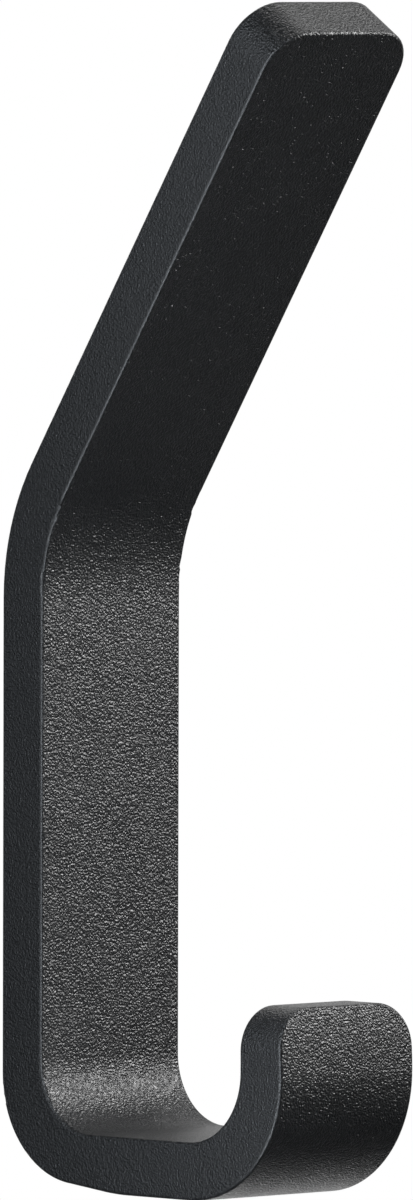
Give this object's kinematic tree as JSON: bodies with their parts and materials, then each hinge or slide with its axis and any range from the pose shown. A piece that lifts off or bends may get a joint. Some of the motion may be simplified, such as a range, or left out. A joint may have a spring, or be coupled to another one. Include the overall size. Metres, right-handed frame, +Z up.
{
  "type": "double robe hook",
  "caption": "One-piece wall hook: a flat bar whose upper end leans forward as a long arm and whose lower end turns up into a short J-shaped hook, with hidden screws behind.",
  "frame": {"origin": "on the flat back face, midway between the two fixing holes", "axes": "+Z up along the wall plate, +Y into the wall, X across the bar's width"},
  "size_m": [0.02, 0.0411, 0.1234],
  "materials": {
    "black_powder_coat": "matt black powder coat with a fine raised grain"
  },
  "bodies": {
    "root": {"hook_body": "black_powder_coat"}
  },
  "joints": []
}
